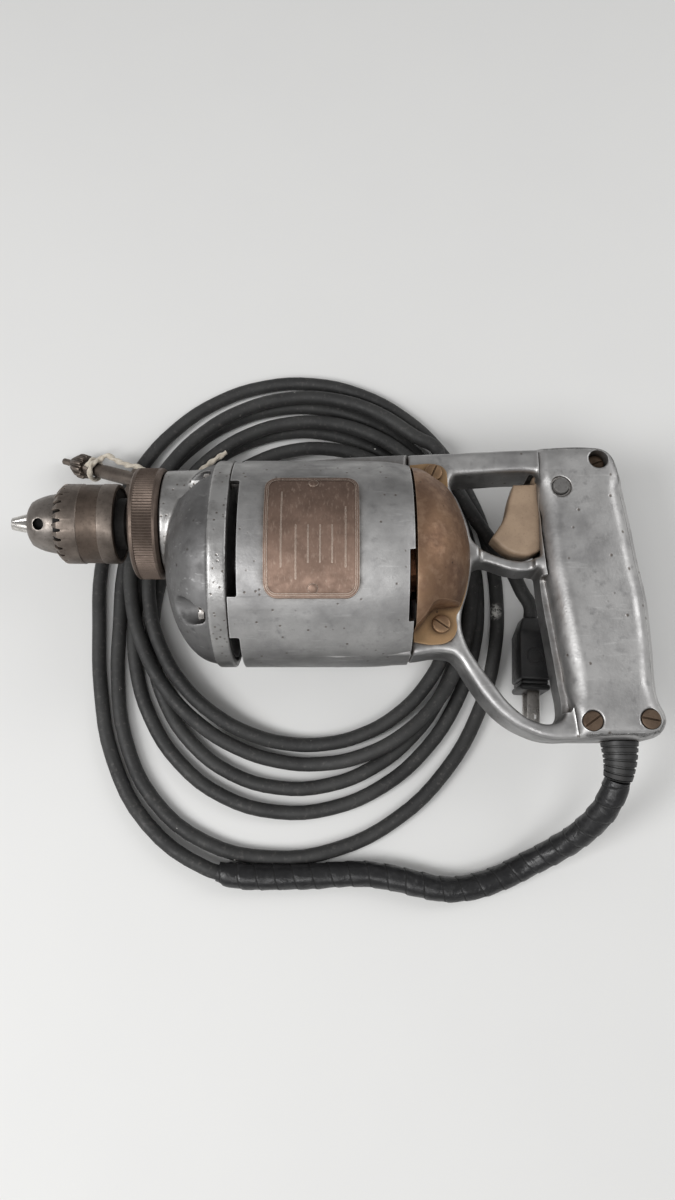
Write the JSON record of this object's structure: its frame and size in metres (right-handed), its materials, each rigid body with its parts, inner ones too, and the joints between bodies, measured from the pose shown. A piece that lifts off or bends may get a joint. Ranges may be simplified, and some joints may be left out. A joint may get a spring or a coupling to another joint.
{
  "type": "electric drill",
  "caption": "Electric drill with an open spade handle, keyed jaw chuck, geared motor, coiled cord with plug, and a chuck key on a string",
  "frame": {"origin": "On the flat facet under the motor barrel that faces the floor, below the barrel's axis, level with the floor that the cord lies on", "axes": "+X runs along the barrel from the chuck to the grip, +Y is the drill's own up, +Z leaves the floor"},
  "size_m": [0.32, 0.2956, 0.1044],
  "materials": {
    "casting": "worn cast aluminium, grey with bright edges",
    "dark_casting": "dull cast aluminium, dark grey",
    "steel": "machined steel",
    "dark_steel": "brown-grey patinated steel",
    "bronze": "brown patina",
    "brass": "dull brass",
    "copper": "copper",
    "plate": "dark copper-brown plate",
    "laminate": "stacked steel sheets",
    "carbon": "carbon",
    "tan_plastic": "tan moulding",
    "grey_plastic": "grey moulding",
    "black_plastic": "black moulding",
    "black_rubber": "black rubber",
    "cord_rubber": "dusty dark grey rubber",
    "tape": "glossy black wrapped tape",
    "rusty_steel": "rust-brown steel",
    "twine": "off-white twine"
  },
  "bodies": {
    "drill": {"motor_housing": "casting", "handle_frame": "casting", "grip_cover": "casting", "gear_plate": "casting", "gear_housing": "dark_casting", "spindle_collar": "bronze", "commutator_cover_left": "bronze", "commutator_cover_right": "bronze", "nameplate": "plate", "field_core": "laminate", "field_coils": "copper", "brush_holder_left": "brass", "brush_holder_right": "brass", "carbon_brush_left": "carbon", "carbon_brush_right": "carbon", "brush_spring_left": "steel", "brush_spring_right": "steel", "armature_front_bearing": "steel", "armature_rear_bearing": "steel", "spindle_front_bearing": "steel", "spindle_rear_bearing": "brass", "chuck_key": "dark_steel", "trigger_pin": "steel", "switch_body": "black_plastic", "lock_spring": "steel", "cord_bushing": "black_rubber", "cord_inside_grip": "cord_rubber", "taped_lead": "tape", "cord_coil": "cord_rubber", "cord_tail": "cord_rubber", "plug": "black_plastic", "key_string": "twine", "gear_housing_screw_1": "steel", "cover_screw_1": "brass", "gear_housing_screw_2": "steel", "cover_screw_2": "brass", "gear_housing_screw_3": "steel", "cover_screw_3": "brass", "gear_housing_screw_4": "steel", "cover_screw_4": "brass", "grip_screw_1": "rusty_steel", "grip_screw_2": "rusty_steel", "grip_screw_3": "rusty_steel"},
    "armature": {"armature_shaft": "steel", "armature_core": "laminate", "armature_winding": "copper", "commutator": "copper", "cooling_fan": "casting"},
    "side_gear": {"side_shaft": "steel"},
    "spindle_body": {"spindle": "steel", "spindle_gear": "steel", "chuck_body": "dark_steel"},
    "sleeve": {"chuck_sleeve": "dark_steel"},
    "first_jaw": {"jaw_1": "steel"},
    "second_jaw": {"jaw_2": "steel"},
    "third_jaw": {"jaw_3": "steel"},
    "trigger_body": {"trigger": "tan_plastic", "trigger_spring": "steel"},
    "plunger": {"switch_plunger": "grey_plastic"},
    "lock": {"lock_button": "grey_plastic"}
  },
  "joints": [
    {"name": "motor_spin", "type": "hinge", "parent": "drill", "child": "armature", "pos_m": [0, 0, 0.05167], "axis": [1, 0, 0], "continuous": true},
    {"name": "side_shaft_spin", "type": "hinge", "parent": "drill", "child": "side_gear", "pos_m": [0, 0.00647, 0.0317], "axis": [1, 0, 0], "continuous": true},
    {"name": "spindle_spin", "type": "hinge", "parent": "drill", "child": "spindle_body", "pos_m": [0, 0.0215, 0.05167], "axis": [1, 0, 0], "continuous": true},
    {"name": "sleeve_turn", "type": "hinge", "parent": "spindle_body", "child": "sleeve", "pos_m": [0, 0.0215, 0.05167], "axis": [1, 0, 0], "range_deg": [0, 5472]},
    {"name": "jaw_1_slide", "type": "slide", "parent": "spindle_body", "child": "first_jaw", "axis": [0.9659, 0.2241, 0.1294], "range_m": [0, 0.0193]},
    {"name": "jaw_2_slide", "type": "slide", "parent": "spindle_body", "child": "second_jaw", "axis": [0.9659, -0.2241, 0.1294], "range_m": [0, 0.0193]},
    {"name": "jaw_3_slide", "type": "slide", "parent": "spindle_body", "child": "third_jaw", "axis": [0.9659, 0, -0.2588], "range_m": [0, 0.0193]},
    {"name": "trigger_pull", "type": "hinge", "parent": "drill", "child": "trigger_body", "pos_m": [0.10455, 0.04363, 0.05167], "axis": [0, 0, 1], "range_deg": [0, 10], "stiffness_Nm_per_rad": 0.4, "springref_deg": -5.73},
    {"name": "plunger_slide", "type": "slide", "parent": "drill", "child": "plunger", "axis": [1, 0, 0], "range_m": [0, 0.0045]},
    {"name": "lock_button_press", "type": "slide", "parent": "drill", "child": "lock", "axis": [0, 0, -1], "range_m": [0, 0.003], "stiffness_N_per_m": 300, "springref_m": -0.002, "deforming": ["lock_spring"]}
  ],
  "couplings": [
    {"joint": "side_shaft_spin", "follows": "motor_spin", "ratio": -0.27273},
    {"joint": "spindle_spin", "follows": "motor_spin", "ratio": 0.090909},
    {"joint": "jaw_1_slide", "follows": "sleeve_turn", "m_per_rad": 0.000202},
    {"joint": "jaw_2_slide", "follows": "sleeve_turn", "m_per_rad": 0.000202},
    {"joint": "jaw_3_slide", "follows": "sleeve_turn", "m_per_rad": 0.000202},
    {"joint": "plunger_slide", "follows": "trigger_pull", "m_per_rad": 0.0255}
  ]
}
